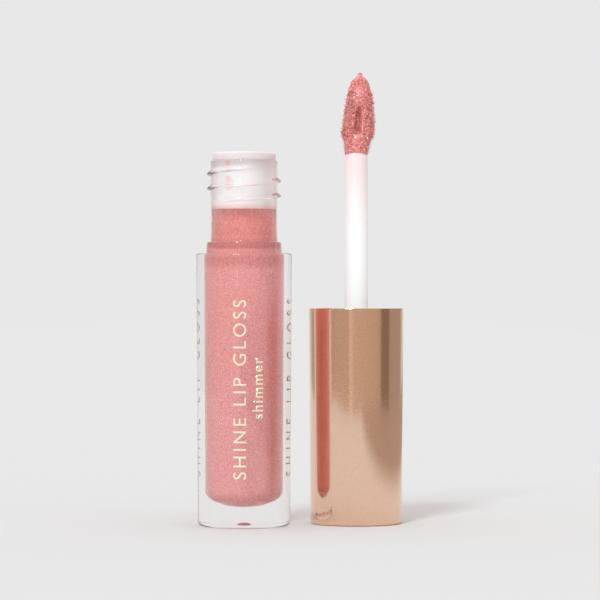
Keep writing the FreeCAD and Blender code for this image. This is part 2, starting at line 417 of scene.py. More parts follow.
def tube_mesh(name, verts, faces):
    mesh = bpy.data.meshes.new(name)
    mesh.from_pydata(verts, [], faces)
    mesh.shade_smooth()
    return mesh


# Bottle sizes

RIM_R = 9.1 * MM
BODY_TOP = 51.74 * MM
BASE_R = 8.8 * MM
BASE_ROUND = 0.85 * MM
RIM_ROUND = 0.28 * MM
RECESS_DEEP = 0.12 * MM
RECESS_R = 7.2 * MM
STANDING_R = 7.7 * MM
GATE_R = 1.3 * MM
GATE_RISE = 0.95 * MM
GATE_STEPS = 10
NECK_R = 6.38 * MM
NECK_BORE_R = 3.95 * MM
RING_LOW_R = 7.24 * MM
RING_TOP_R = 7.12 * MM
RING_TOP = 53.93 * MM
CAVITY_R = 4.85 * MM
CAVITY_BASE_R = 4.68 * MM
CAVITY_MID = 3.9 * MM
CAVITY_EDGE = 5.45 * MM
CAVITY_ROUND = 2.4 * MM
THROAT_LOW = 52.2 * MM
THROAT_TOP = 55.2 * MM
THROAT_ROUND = 1.0 * MM
PITCH = 2.8 * MM
THREAD_LOW = 61.25 * MM
THREAD_TURNS = 2.2
THREAD_START = math.radians(-140)
THREAD_RUNOUT = 0.07
THREAD_SKIN = 0.3 * MM
THREAD_ROWS = 120
ROWS_LOW = THREAD_LOW - 0.2 * MM
ROWS_HIGH = NECK_TOP - 0.35 * MM
RIDGE_HIGH = 0.67 * MM
RIDGE_LEAD = 0.24 * MM
RIDGE_CREST = 0.20 * MM
RIDGE_ROOT = 1.18 * MM
PLASTIC_IOR = 1.57
PLASTIC_TINT = (0.97, 0.955, 0.95, 1.0)


# Materials

def lamps_through(t, solid, tint, share=None):
    """Lets lamps shine through a shader: see-through to rays towards a lamp only."""
    through = t.add("ShaderNodeBsdfTransparent", {"Color": tint}).outputs[0]
    passed = t.add("ShaderNodeLightPath").outputs["Is Shadow Ray"]
    if share:
        passed = t.math("MULTIPLY", passed, share)
    return t.add("ShaderNodeMixShader", {0: passed, 1: solid, 2: through}).outputs[0]


def clear_plastic():
    """Clear moulded plastic with faint flow waviness; lamps shine through it."""
    material, t = new_material("clear_bottle")
    flow = t.mottle(t.place(), 140.0, 1.0)
    sockets = {
        "Base Color": PLASTIC_TINT,
        "Roughness": 0.0,
        "IOR": PLASTIC_IOR,
        "Transmission Weight": 1.0,
        "Normal": t.bump(flow, 0.012, 1.0 * MM),
    }
    t.finish(lamps_through(t, t.principled(sockets), (0.91, 0.90, 0.89, 1.0)))
    return material


GLOSS_PAINTED_SHADE = [
    # height in mm, painted shade: share of the gloss's colour kept there, darker under the rim,
    # behind the ring and up the neck
    (0.0, (1.0, 1.0, 1.0)),
    (48.6, (1.0, 1.0, 1.0)),
    (49.8, (0.90, 0.75, 0.75)),
    (50.8, (0.90, 0.75, 0.75)),
    (51.5, (1.0, 0.95, 0.95)),
    (52.2, (1.0, 0.95, 0.95)),
    (52.7, (0.79, 0.58, 0.57)),
    (53.7, (0.79, 0.58, 0.57)),
    (54.6, (0.97, 0.76, 0.73)),
    (60.2, (0.99, 0.78, 0.74)),
]
CLOUD_SHARE = 0.16
GLOSS_FLECK_SHARE = 0.85


def gloss_material():
    """Pink gloss, full of fine pearl that shows as grain and small bright flecks, with painted
    shade in bands under the rim, behind the ring and up the neck.
    """
    material, t = new_material("pink_gloss")
    place = t.place()
    body = t.ramp(t.mottle(place, 6000.0, 2.0), [
        (0.30, (0.62, 0.165, 0.160)),
        (0.50, (0.80, 0.275, 0.268)),
        (0.70, (0.96, 0.43, 0.405)),
    ])
    cloud = t.span(t.mottle(place, 260.0, 2.0), 0.3, 0.7)
    body = t.mix(t.math("MULTIPLY", cloud, CLOUD_SHARE), body, (0.86, 0.40, 0.38, 1.0))
    fleck = t.flecks(place, 4200.0, (0.86, 0.95), (0.45, 0.1))
    fleck = t.math("MULTIPLY", fleck, GLOSS_FLECK_SHARE)
    colour = t.mix(fleck, body, (1.0, 0.74, 0.64, 1.0))
    full = GLOSS_PAINTED_SHADE[-1][0]
    stops = [(level / full, share) for level, share in GLOSS_PAINTED_SHADE]
    # painted shade: the gloss colour is darkened in bands by height
    painted_darkening = t.ramp(t.math("DIVIDE", t.along(place, "Z"), full * MM), stops)
    sockets = {
        "Base Color": t.mix(1.0, colour, painted_darkening, "MULTIPLY"),
        "Roughness": 0.35,
        "Specular IOR Level": 0.12,
        "Coat Weight": 1.0,
        "Coat Roughness": 0.04,
        "Coat IOR": 1.75,
        "Subsurface Weight": 0.25,
        "Subsurface Radius": (1.0, 0.35, 0.3),
        "Subsurface Scale": 0.8 * MM,
    }
    t.finish(t.principled(sockets))
    return material


SMEARS = [
    # gloss left on the wiper's front left side: height, radius of the smear
    (68.8 * MM, 0.7 * MM),
    (67.5 * MM, 0.4 * MM),
    (65.8 * MM, 0.9 * MM),
    (64.4 * MM, 1.2 * MM),
]
SMEAR_TURN = math.radians(-39.0)
SMEAR_RAGGED = -1.2
SMEAR_SOFT = 0.35
FOOT_CLEAN = FOOT_LOW + 1.5 * MM
FOOT_STAINED = FOOT_LOW + 0.3 * MM
FLANGE_BLEND = 0.3 * MM
WIPER_PASS = 0.75


def smear_share(t, place, ragged):
    """How much a point of the wiper is covered by the smears of gloss."""
    share = 0.0
    x = NECK_BORE_R * math.sin(SMEAR_TURN)
    y = -NECK_BORE_R * math.cos(SMEAR_TURN)
    for height, size in SMEARS:
        way = t.add("ShaderNodeVectorMath", {0: place, 1: (x, y, height)}, operation="DISTANCE")
        near = t.math("MULTIPLY_ADD", ragged, SMEAR_RAGGED * size, way.outputs["Value"])
        share = t.math("MAXIMUM", share, t.span(near, SMEAR_SOFT * size, -SMEAR_SOFT * size))
    return share


def wiper_material():
    """Milky soft polyethylene that lets lamps through, faintly stained by the gloss."""
    material, t = new_material("wiper_plastic")
    place = t.place()
    cloud = t.mottle(place, 420.0, 3.0)
    stain = t.span(cloud, 0.35, 0.75)
    height = t.along(place, "Z")
    flange = t.span(height, NECK_TOP - FLANGE_BLEND, NECK_TOP)
    barrel = t.mix(stain, (0.985, 0.90, 0.905, 1.0), (0.975, 0.87, 0.88, 1.0))
    foot = t.span(height, FOOT_CLEAN, FOOT_STAINED)
    barrel = t.mix(foot, barrel, (0.95, 0.62, 0.60, 1.0))
    rim = t.mix(stain, (0.79, 0.71, 0.73, 1.0), (0.77, 0.67, 0.69, 1.0))
    milk = t.mix(flange, barrel, rim)
    sockets = {
        "Base Color": t.mix(smear_share(t, place, cloud), milk, (0.93, 0.68, 0.69, 1.0)),
        "Roughness": 0.42,
        "IOR": 1.5,
        "Subsurface Weight": 0.5,
        "Subsurface Radius": (1.0, 0.75, 0.72),
        "Subsurface Scale": 1.2 * MM,
        "Normal": t.bump(t.mottle(place, 5200.0, 2.0), 0.15, 0.03 * MM),
    }
    t.finish(lamps_through(t, t.principled(sockets), (1.0, 0.95, 0.95, 1.0), WIPER_PASS))
    return material


def rose_gold_material():
    """Metallised lacquer: a nearly clean mirror of copper rose with fine pearl speckle."""
    material, t = new_material("rose_gold")
    place = t.place()
    speckle = t.mottle(place, 4600.0, 2.0)
    tone = t.ramp(speckle, [
        (0.32, (0.84, 0.555, 0.405)),
        (0.52, (0.885, 0.605, 0.45)),
        (0.74, (0.94, 0.68, 0.53)),
    ])
    cloud = t.span(t.mottle(place, 300.0, 2.0), 0.3, 0.7, 0.0, 0.12)
    sockets = {
        "Base Color": t.mix(cloud, tone, (0.86, 0.57, 0.43, 1.0)),
        "Metallic": 1.0,
        "Roughness": t.span(speckle, 0.3, 0.75, 0.075, 0.14),
        "Normal": t.bump(speckle, 0.10, 0.01 * MM),
    }
    t.finish(t.principled(sockets))
    return material


def moulded_white(name, colour, tinted, roughness, scatter):
    """Moulded plastic with a faint cloud of a second tone."""
    material, t = new_material(name)
    place = t.place()
    cloud = t.span(t.mottle(place, 350.0, 3.0), 0.35, 0.75)
    sockets = {
        "Base Color": t.mix(cloud, colour, tinted),
        "Roughness": roughness,
        "Subsurface Weight": scatter,
        "Subsurface Radius": (1.0, 0.9, 0.88),
        "Subsurface Scale": 1.0 * MM,
        "Normal": t.bump(t.mottle(place, 4000.0, 2.0), 0.1, 0.02 * MM),
    }
    t.finish(t.principled(sockets))
    return material


FILM_FROM = STEM_TOP - 16 * MM
FILM_FULL = STEM_TOP + 3 * MM
FILM_RAGGED = 4 * MM


def stem_material():
    """White polypropylene rod, its upper end tinted by a film of gloss."""
    material, t = new_material("stem_plastic")
    place = t.place()
    cloud = t.mottle(place, 300.0, 3.0)
    ragged = t.math("MULTIPLY_ADD", cloud, FILM_RAGGED, t.along(place, "Z"))
    film = t.span(ragged, FILM_FROM, FILM_FULL)
    sockets = {
        "Base Color": t.mix(film, (0.93, 0.92, 0.925, 1.0), (0.90, 0.72, 0.735, 1.0)),
        "Roughness": 0.32,
        "Subsurface Weight": 0.4,
        "Subsurface Radius": (1.0, 0.92, 0.9),
        "Subsurface Scale": 1.0 * MM,
        "Normal": t.bump(t.mottle(place, 3000.0, 2.0), 0.08, 0.02 * MM),
    }
    t.finish(t.principled(sockets))
    return material


# colour of the painted shade in the flock's hollows and groove
PAINTED_SHADE_TONE = (0.20, 0.030, 0.028, 1.0)
# share of the pearl flecks, which are also painted glints
FLOCK_FLECK_AND_GLINT_SHARE = 0.7


def flock_material(name, dark, middle, light, coat):
    """Flock soaked in gloss: tone varies from clump to clump under a wet film; hollows and the
    groove get painted shade, and its pearl flecks also serve as painted glints.
    """
    material, t = new_material(name)
    place = t.place()
    tone = t.ramp(t.mottle(place, 2900.0, 3.0), [(0.30, dark), (0.48, middle), (0.66, light)])
    # painted shade: darker tone in the hollows between clumps and down the groove
    painted_shade = t.add("ShaderNodeAttribute", attribute_name="painted_shade").outputs["Fac"]
    tone = t.mix(painted_shade, tone, PAINTED_SHADE_TONE)
    # pearl flecks that also stand in as painted glints on strands too thin to show their own
    fleck = t.flecks(place, 3400.0, (0.84, 0.88), (0.55, 0.25))
    fleck = t.math("MULTIPLY", fleck, FLOCK_FLECK_AND_GLINT_SHARE)
    sockets = {
        "Base Color": t.mix(fleck, tone, (1.0, 0.86, 0.83, 1.0)),
        "Roughness": 0.42,
        "Subsurface Weight": 0.25,
        "Subsurface Radius": (1.0, 0.4, 0.36),
        "Subsurface Scale": 0.4 * MM,
        "Coat Weight": coat,
        "Coat Roughness": 0.07,
        "Normal": t.bump(t.mottle(place, 9000.0, 2.0), 0.5, 0.04 * MM),
    }
    t.finish(t.principled(sockets))
    return material


FOIL_METAL = 0.55


def foil_material():
    """Hot foil with a fine broken grain: pale gold outside, grey where it is bonded."""
    material, t = new_material("foil_print")
    grain = t.mottle(t.place(), 5200.0, 3.0)
    tone = t.ramp(grain, [
        (0.30, (0.88, 0.74, 0.52)),
        (0.55, (0.97, 0.87, 0.68)),
        (0.75, (1.0, 0.94, 0.80)),
    ])
    bonded = t.add("ShaderNodeAttribute", attribute_name="bonded").outputs["Fac"]
    sockets = {
        "Base Color": t.mix(bonded, tone, (0.58, 0.50, 0.51, 1.0)),
        "Metallic": t.math("MULTIPLY_ADD", bonded, -FOIL_METAL, FOIL_METAL),
        "Roughness": t.span(grain, 0.3, 0.7, 0.28, 0.45),
    }
    t.finish(t.principled(sockets))
    return material


# Bottle, gloss and wiper

def ridge_height(up):
    """Thread ridge's height at a distance above its lower edge."""
    if up <= 0 or up >= RIDGE_ROOT:
        return 0.0
    rise = smooth(up / RIDGE_LEAD)
    fall = smooth((RIDGE_ROOT - up) / (RIDGE_ROOT - RIDGE_LEAD - RIDGE_CREST))
    return RIDGE_HIGH * min(rise, fall)


def thread_shift(turn, r, z):
    """Right-hand thread on the neck, its two ends running out into the wall."""
    if r < NECK_R - THREAD_SKIN:
        return 0.0
    start = (turn - THREAD_START) % (2 * math.pi) / (2 * math.pi)
    height = 0.0
    for lap in range(math.ceil(THREAD_TURNS)):
        along = lap + start
        if along <= THREAD_TURNS:
            runout = min(along, THREAD_TURNS - along) / THREAD_RUNOUT
            height = max(height, smooth(runout) * ridge_height(z - THREAD_LOW - PITCH * along))
    return height


def make_bottle():
    """Clear thick-walled bottle: recessed base with a gate dimple, shoulder, ring and neck."""
    outer = []
    for step in range(GATE_STEPS + 1):
        turn = math.pi / 2 * (1 - step / GATE_STEPS)
        outer.append((GATE_R * math.cos(turn), RECESS_DEEP + GATE_RISE * math.sin(turn), 0))
    outer += [
        (RECESS_R, RECESS_DEEP, 0.3 * MM),
        (STANDING_R, 0, 0.2 * MM),
        (BASE_R, 0, BASE_ROUND),
        (RIM_R, BODY_TOP, RIM_ROUND),
        (RING_LOW_R, BODY_TOP, 0.1 * MM),
        (RING_TOP_R, RING_TOP, 0.18 * MM),
        (NECK_R, RING_TOP, 0.2 * MM),
    ]
    for row in range(THREAD_ROWS + 1):
        outer.append((NECK_R, ROWS_LOW + (ROWS_HIGH - ROWS_LOW) * row / THREAD_ROWS, 0))
    inner = [
        (NECK_R, NECK_TOP, 0.16 * MM),
        (NECK_BORE_R, NECK_TOP, 0.1 * MM),
        (NECK_BORE_R, THROAT_TOP, THROAT_ROUND),
        (CAVITY_R, THROAT_LOW, THROAT_ROUND),
        (CAVITY_BASE_R, CAVITY_EDGE, CAVITY_ROUND),
    ]
    inner += dome(CAVITY_MID, CAVITY_BASE_R, CAVITY_EDGE, CAVITY_ROUND, inward=True)
    points = rounded(outer + inner)
    mesh = revolve("bottle_shell", points, segments=320, shift=thread_shift)
    new_object("bottle_shell", mesh, clear_plastic(), "bottle", ["bottle_body"])


GLOSS_WETS = 0.03 * MM
CREEP_HIGH = 0.28 * MM
CREEP_THICK = 0.12 * MM
DIP_IN = 0.5 * MM
DIP_EDGE = 0.5 * MM
DIP_MIDDLE = 0.55 * MM


def make_gloss():
    """Gloss fill, wetting the cavity's wall and creeping up the bore at its edge."""
    wet = GLOSS_WETS
    corners = dome(CAVITY_MID - wet, CAVITY_BASE_R + wet, CAVITY_EDGE - wet, CAVITY_ROUND)
    corners += [
        (CAVITY_BASE_R + wet, CAVITY_EDGE - wet, CAVITY_ROUND),
        (CAVITY_R + wet, THROAT_LOW, THROAT_ROUND),
        (NECK_BORE_R + wet, THROAT_TOP, THROAT_ROUND),
        (NECK_BORE_R + wet, FOOT_LOW + CREEP_HIGH, 0),
        (NECK_BORE_R - CREEP_THICK, FOOT_LOW, 0),
        (NECK_BORE_R - DIP_IN, GLOSS_TOP - DIP_EDGE, 0.2 * MM),
        (0, GLOSS_TOP - DIP_MIDDLE, 0),
    ]
    mesh = revolve("gloss_body", rounded(corners), segments=192)
    new_object("gloss_body", mesh, gloss_material(), "bottle", ["gloss_fill"])


BARREL_R = NECK_BORE_R + 0.025 * MM
FLANGE_FOOT = NECK_TOP + 0.01 * MM
WIPER_BORE_R = 3.35 * MM
MOUTH_R = 3.75 * MM
MOUTH_DEEP = 0.6 * MM
ORIFICE_R = 2.15 * MM
FUNNEL_TOP = FOOT_LOW + 1.55 * MM
LIP_TOP = FOOT_LOW + 0.55 * MM
LIP_LOW = FOOT_LOW + 0.02 * MM
UNDERSIDE = FOOT_LOW + 0.1 * MM


def make_wiper():
    """Milky wiper: flange on the neck, barrel, funnel and thin lip."""
    corners = [
        (WIPER_BORE_R, UNDERSIDE, 0.1 * MM),
        (BARREL_R - 0.1 * MM, LIP_LOW, 0.06 * MM),
        (BARREL_R, FOOT_LOW + 0.25 * MM, 0.1 * MM),
        (BARREL_R, FLANGE_FOOT, 0.08 * MM),
        (FLANGE_R, FLANGE_FOOT, 0.12 * MM),
        (FLANGE_R, FLANGE_TOP, 0.3 * MM),
        (MOUTH_R, FLANGE_TOP, 0.25 * MM),
        (WIPER_BORE_R, FLANGE_TOP - MOUTH_DEEP, 0.3 * MM),
        (WIPER_BORE_R, FUNNEL_TOP, 0.4 * MM),
        (ORIFICE_R, LIP_TOP, 0.12 * MM),
        (ORIFICE_R, LIP_LOW, 0.12 * MM),
        (WIPER_BORE_R, UNDERSIDE, 0.1 * MM),
    ]
    points = rounded(corners)[:-1]
    mesh = revolve("wiper_plug", points, segments=160, closed=True)
    new_object("wiper_plug", mesh, wiper_material(), "bottle", ["wiper"])


RIDGE_LINE_START = math.radians(-125.0)
RIDGE_LINE_SPAN = math.radians(105.0)
RIDGE_LINE_THICK = 0.07 * MM
RIDGE_LINE_ENDS = 0.25
RIDGE_LINE_WIDE = 2.2
RIDGE_LINE_OUT = 0.2 * MM
RIDGE_LINE_SIDES = 8
RIDGE_LINE_RINGS = 60


def make_ridge_lines():
    """Thin pink lines under the thread's ridges, across the front."""
    verts, faces = [], []
    for lap in (0, 1):
        first = len(verts)
        for ring in range(RIDGE_LINE_RINGS + 1):
            share = ring / RIDGE_LINE_RINGS
            turn = RIDGE_LINE_START + RIDGE_LINE_SPAN * share
            along = lap + (turn - THREAD_START) / (2 * math.pi)
            swell = math.sin(math.pi * share) ** 0.5
            radius = RIDGE_LINE_THICK * (RIDGE_LINE_ENDS + (1 - RIDGE_LINE_ENDS) * swell)
            z = THREAD_LOW + PITCH * along - 0.5 * radius
            for k in range(RIDGE_LINE_SIDES):
                angle = 2 * math.pi * k / RIDGE_LINE_SIDES
                r = NECK_R + RIDGE_LINE_OUT + RIDGE_LINE_WIDE * radius * math.cos(angle)
                verts.append((r * math.cos(turn), r * math.sin(turn), z + radius * math.sin(angle)))
        tube_faces(faces, first, RIDGE_LINE_SIDES, RIDGE_LINE_RINGS)
    mesh = tube_mesh("ridge_lines", verts, faces)
    material = flock_material(
        "ridge_line_pink", (0.82, 0.50, 0.50), (0.88, 0.58, 0.58), (0.94, 0.68, 0.68), 1.0)
    new_object("ridge_lines", mesh, material, "bottle")


# Lettering: generic words, reading upwards on the bottle

CAPITAL_SHARE = 0.7
CURVE_STEPS = 6
CUTS = 10
CUT_SPAN = 1.5
CUT_BELOW = 0.3
FOIL_RISE = 0.03 * MM
FOIL_SUNK = 0.01 * MM
LINE_LONG = 33.6 * MM
LINE_LOW = 9.3 * MM
LETTERING = [
    # piece, words, letter height, length, lower end, turn from the front, stroke weight
    ("print_name", "SHINE LIP GLOSS", 2.45 * MM, LINE_LONG, LINE_LOW,
     math.asin(-0.69 * MM / RIM_R), 0.0),
    ("print_back", "SHINE LIP GLOSS", 1.7 * MM, LINE_LONG, LINE_LOW, math.pi, 0.0),
    ("print_note", "shimmer", 2.0 * MM, 11.5 * MM, 20.6 * MM,
     math.asin(2.74 * MM / RIM_R), 0.03 * MM),
]


def letter_mesh(words, height, tracking, weight):
    """Flat letters from the built-in font, lower left corner at the origin."""
    curve = bpy.data.curves.new("letters", "FONT")
    curve.body = words
    curve.size = height / CAPITAL_SHARE
    curve.space_character = tracking
    curve.offset = weight
    curve.resolution_u = CURVE_STEPS
    holder = bpy.data.objects.new("letters", curve)
    scene.collection.objects.link(holder)
    bpy.context.view_layer.update()
    mesh = bpy.data.meshes.new_from_object(holder)
    bpy.data.objects.remove(holder)
    bpy.data.curves.remove(curve)
    return mesh


def reach_across(mesh):
    """Lowest x of a mesh, and its width."""
    low = min(vert.co.x for vert in mesh.vertices)
    return low, max(vert.co.x for vert in mesh.vertices) - low


def spaced_letters(words, height, length, weight):
    """Letters spaced out until the line is about as long as wanted."""
    mesh = letter_mesh(words, height, 1.0, weight)
    wide = reach_across(mesh)[1]
    bpy.data.meshes.remove(mesh)
    pitch = wide / len(words)
    tracking = 1.0 + (length - wide) / ((len(words) - 1) * pitch)
    return letter_mesh(words, height, tracking, weight)


def body_r(z):
    return BASE_R + (RIM_R - BASE_R) * z / BODY_TOP


def wrap_letters(name, words, height, length, low, turn, weight, material):
    """Lays a line of letters on the bottle, from a height upwards, as raised foil."""
    mesh = spaced_letters(words, height, length, weight)
    low_x, wide = reach_across(mesh)
    work = bmesh.new()
    work.from_mesh(mesh)
    for k in range(1, CUTS):
        cut = Vector((0, height * (k / CUTS * CUT_SPAN - CUT_BELOW), 0))
        parts = work.verts[:] + work.edges[:] + work.faces[:]
        bmesh.ops.bisect_plane(work, geom=parts, plane_co=cut, plane_no=(0, 1, 0), dist=1e-9)
    bmesh.ops.remove_doubles(work, verts=work.verts, dist=1e-7)
    made = bmesh.ops.extrude_face_region(work, geom=work.faces[:])
    raised = [item for item in made["geom"] if isinstance(item, bmesh.types.BMVert)]
    for vert in work.verts:
        vert.co.z = -FOIL_SUNK
    for vert in raised:
        vert.co.z = FOIL_RISE
    for vert in work.verts:
        along, up, out = vert.co
        z = low + (along - low_x) * length / wide
        r = body_r(z) + out
        angle = turn - (up - height / 2) / body_r(z)
        vert.co = (r * math.sin(angle), -r * math.cos(angle), z)
    bmesh.ops.recalc_face_normals(work, faces=work.faces)
    work.to_mesh(mesh)
    work.free()
    inward = [face.normal.dot(Vector((*face.center.xy, 0)).normalized()) < -0.5
              for face in mesh.polygons]
    mesh.attributes.new("bonded", "FLOAT", "FACE").data.foreach_set("value", inward)
    new_object(name, mesh, material, "bottle")


def make_lettering():
    """Generic words: two lines near the front, and one down the middle of the back."""
    foil = foil_material()
    for line in LETTERING:
        wrap_letters(*line, foil)


# Cap and wand

CAP_WALL = 0.8 * MM
CAP_END_R = 8.76 * MM
CAP_END_THICK = 1.0 * MM
CAP_RECESS = 0.08 * MM
STEM_TAPER_FROM = CAP_TOP - 10 * MM
STEM_TAPER = 0.085 * MM
STEM_NOSE = 0.9 * MM


def make_cap():
    """Rose-gold shell: closed end down, soft edges, open rim above the white liner."""
    corners = [
        (0, CAP_RECESS, 0),
        (7.6 * MM, CAP_RECESS, 0.1 * MM),
        (7.8 * MM, 0, 0.1 * MM),
        (CAP_END_R, 0, 0.42 * MM),
        (CAP_R, CAP_TOP, 0.16 * MM),
        (CAP_R - CAP_WALL, CAP_TOP, 0.12 * MM),
        (CAP_END_R - CAP_WALL, CAP_END_THICK, 0.3 * MM),
        (0, CAP_END_THICK, 0),
    ]
    mesh = revolve("overcap_shell", rounded(corners), (CAP_X, CAP_Y), segments=256)
    new_object("overcap_shell", mesh, rose_gold_material(), "cap", ["overcap"])


def make_stem():
    """White rod from the liner's socket up into the tip."""
    low = STEM_LOW[2]
    corners = [
        (0, low, 0),
        (STEM_R, low, 0.2 * MM),
        (STEM_R, STEM_TAPER_FROM, 0),
        (STEM_R - STEM_TAPER, STEM_TOP - 0.2 * MM, 0),
        (STEM_R - 0.5 * MM, STEM_TOP + STEM_NOSE, 0.3 * MM),
        (0, STEM_TOP + STEM_NOSE, 0),
    ]
    mesh = revolve("stem_rod", rounded(corners), (CAP_X, CAP_Y), segments=96)
    new_object("stem_rod", mesh, stem_material(), "cap", ["stem"])


def carry_inner_parts():
    """White liner and foam washer keep their own meshes, with moulded materials."""
    white = moulded_white(
        "liner_plastic", (0.90, 0.895, 0.89, 1.0), (0.86, 0.85, 0.84, 1.0), 0.4, 0.2)
    foam = moulded_white(
        "seal_foam", (0.86, 0.85, 0.82, 1.0), (0.80, 0.79, 0.76, 1.0), 0.7, 0.1)
    for node, material in (("inner_cap", white), ("seal_washer", foam)):
        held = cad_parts[node]
        held.data.materials.clear()
        held.data.materials.append(material)


# Applicator tip: a leaf with a groove, clumped flock and loose fibres.
# On the leaf, s is the share of its length, from 0 at the stem to 1 at its point.

LEAF_LONG = TIP_TOP - STEM_TOP
LEAF_WIDE = 2.95 * MM
LEAF_THICK = 1.75 * MM
LEAF_LEAN = 0.72 * MM
WIDTHS = [(0, 0.74), (0.10, 0.82), (0.30, 1.0), (0.60, 0.84), (0.80, 0.66)]
DEPTHS = [(0, 1.22), (0.12, 1.18), (0.35, 1.0), (0.65, 0.82), (0.85, 0.55)]
NIPPLE_FROM = 0.955
NIPPLE_WIDE = 0.16
NOSE_CURVE = 2.6
NOSE_DEPTH = 1.55
ARCH_HIGH = 0.5 * MM
ARCH_END = 0.25


def blend_points(stops, place):
    """Smooth value between listed (place, value) stops."""
    for (low, first), (high, second) in zip(stops, stops[1:]):
        if place <= high:
            return first + (second - first) * ease(place, low, high)
    return stops[-1][1]


def leaf_width(s):
    """Half width as a share of LEAF_WIDE: flanks, then a nose, then a small nipple."""
    nose_from, flank = WIDTHS[-1]
    if s < nose_from:
        return blend_points(WIDTHS, s)
    if s < NIPPLE_FROM:
        rest = (s - nose_from) / (NIPPLE_FROM - nose_from)
        return flank - (flank - NIPPLE_WIDE) * rest ** NOSE_CURVE
    return NIPPLE_WIDE * math.sqrt(max(0.0, 1 - ((s - NIPPLE_FROM) / (1 - NIPPLE_FROM)) ** 2))


def leaf_depth(s):
    """Half thickness as a share of LEAF_THICK."""
    nose_from, flank = DEPTHS[-1]
    if s < nose_from:
        return blend_points(DEPTHS, s)
    return min(flank, leaf_width(s) * NOSE_DEPTH)


def leaf_point(turn, s, out=0.0):
    """Point on the leaf: turn 0 is its right edge and -90 degrees its front."""
    lean = LEAF_LEAN * (1 - (1 - s) ** 2)
    wide = LEAF_WIDE * leaf_width(s) + out
    thick = LEAF_THICK * leaf_depth(s) + out
    lift = ARCH_HIGH * math.sin(turn) ** 2 * (1 - smooth(s / ARCH_END))
    x = CAP_X + lean + wide * math.cos(turn)
    y = CAP_Y + thick * math.sin(turn)
    return Vector((x, y, STEM_TOP + LEAF_LONG * s + lift))


def leaf_normal(turn, s):
    step = 0.01
    around = leaf_point(turn + step, s) - leaf_point(turn - step, s)
    up = leaf_point(turn, min(1.0, s + step)) - leaf_point(turn, s - step)
    normal = around.cross(up)
    return normal.normalized() if normal.length > 0 else Vector((0, 0, 1))


GROOVE_DEEP = 1.15 * MM
GROOVE_LOW = 0.235
GROOVE_LONG = 0.40
GROOVE_X = 0.05 * MM
GROOVE_LEAN = 0.62 * MM
GROOVE_HALF = 0.95 * MM
GROOVE_NARROWS = 0.55
GROOVE_FOOT = 0.12
GROOVE_FADE = 0.35


def groove_depth(point):
    """Depth of the slot down the front of the leaf, which leans with it."""
    along = ((point.z - STEM_TOP) / LEAF_LONG - GROOVE_LOW) / GROOVE_LONG
    if point.y > CAP_Y or not 0 < along < 1:
        return 0.0
    middle = CAP_X + GROOVE_X + GROOVE_LEAN * along
    half = GROOVE_HALF * (1 - GROOVE_NARROWS * along)
    across = abs(point.x - middle) / half
    ends = smooth(along / GROOVE_FOOT) * smooth((1 - along) / GROOVE_FADE)
    return GROOVE_DEEP * smooth(1.1 - 0.9 * across) * ends


def roughness_at(turn, s):
    """How clumped the flock is: most at the sides, least at both ends and the middle."""
    side = ease(abs(math.cos(turn)), 0.15, 0.65)
    back = 0.5 if math.sin(turn) > 0 else 0.0
    ends = ease(s, 0.10, 0.24) * ease(s, 0.86, 0.74)
    return (0.18 + 0.82 * max(side, back)) * ends


def leaf_mesh(name, around, along, place):
    """Closed leaf-shaped mesh; place gives each point, and how much painted shade it gets, 0 to 1.
    """
    verts, painted_shade, rows = [], [], []
    for j in range(along + 1):
        row = []
        for k in range(around):
            point, painted_darkening = place(2 * math.pi * k / around, j / along)
            row.append(len(verts))
            verts.append(point)
            painted_shade.append(painted_darkening)
        rows.append(row)
    faces = []
    for low, high in zip(rows, rows[1:]):
        for k in range(around):
            n = (k + 1) % around
            faces.append((low[k], low[n], high[n], high[k]))
    faces.append(rows[0][::-1])
    mesh = bpy.data.meshes.new(name)
    mesh.from_pydata(verts, [], faces)
    mesh.attributes.new("painted_shade", "FLOAT", "POINT").data.foreach_set("value", painted_shade)
    face_outward(mesh, merge=1e-8)
    return mesh


CLUMP_SIZE = 0.36 * MM
CLUMP_HIGH = 0.27 * MM
CLUMP_FINER = 2.3
GRAIN_SIZE = 0.11 * MM
GRAIN_HIGH = 0.04 * MM
NORMAL_FROM = 0.012
NIPPLE_CALM = 0.05
HOLLOW_DEEP = 0.22 * MM
# painted shade in the hollows and the groove, 0 to 1
HOLLOW_PAINTED_SHADE = 0.55
GROOVE_PAINTED_SHADE = 0.5
CORE_UNDER = 0.45 * MM
CORE_SHORT = 0.1 * MM


def flocked_place(turn, s):
    """Point of the flocked surface, dimpled by clumps and cut by the groove, with the painted shade
    that its hollows and the groove get.
    """
    base = leaf_point(turn, s)
    normal = leaf_normal(turn, max(s, NORMAL_FROM))
    rough = roughness_at(turn, s)
    seed = base / CLUMP_SIZE
    clump = noise.noise(seed) + 0.5 * noise.noise(seed * CLUMP_FINER)
    grain = noise.noise(base / GRAIN_SIZE)
    out = rough * CLUMP_HIGH * clump + (0.25 + rough) * GRAIN_HIGH * grain
    out *= smooth((1 - s) / NIPPLE_CALM)
    sunk = groove_depth(base)
    point = base + normal * out
    point.y += sunk
    # painted shade: the hollows between clumps and the groove are marked darker
    hollow_shade = smooth(-out / HOLLOW_DEEP) * HOLLOW_PAINTED_SHADE
    return point, max(hollow_shade, smooth(sunk / GROOVE_DEEP) * GROOVE_PAINTED_SHADE)


def core_place(turn, s):
    """Point of the soft core, a coat's thickness under the flocked surface."""
    base = leaf_point(turn, s, -CORE_UNDER * (1 - 0.8 * s ** 4))
    base.y += groove_depth(base)
    base.z -= CORE_SHORT * s
    return base, 0.0


